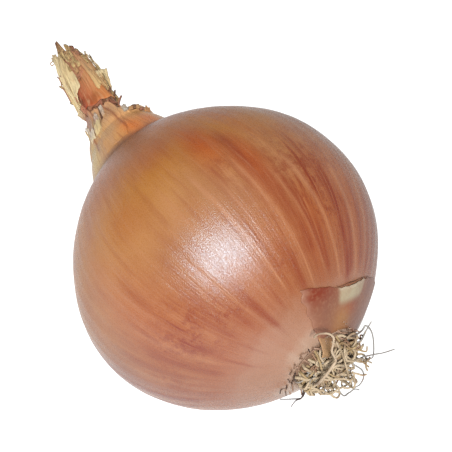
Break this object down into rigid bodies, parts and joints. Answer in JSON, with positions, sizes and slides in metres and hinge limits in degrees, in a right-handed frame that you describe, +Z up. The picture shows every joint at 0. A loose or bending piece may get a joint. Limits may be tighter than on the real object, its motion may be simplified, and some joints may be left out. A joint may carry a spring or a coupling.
{
  "type": "onion",
  "caption": "Whole yellow onion lying on its side: a round bulb with a torn collar, a dry papery neck, a tuft of curly roots and a torn scrap of outer skin.",
  "frame": {"origin": "centre of the small flat spot that the bulb lies on, straight below its widest section", "axes": "+Z up; +X along the growth axis towards the roots, so the neck points to -X"},
  "size_m": [0.1353, 0.0804, 0.0796],
  "materials": {
    "onion_skin": "satin",
    "dry_neck_paper": "matte",
    "dry_root": "matte",
    "torn_skin_paper": "satin"
  },
  "bodies": {
    "root": {"bulb": "onion_skin", "dry_neck": "dry_neck_paper", "root_tuft": "dry_root", "torn_skin": "torn_skin_paper"}
  },
  "joints": []
}
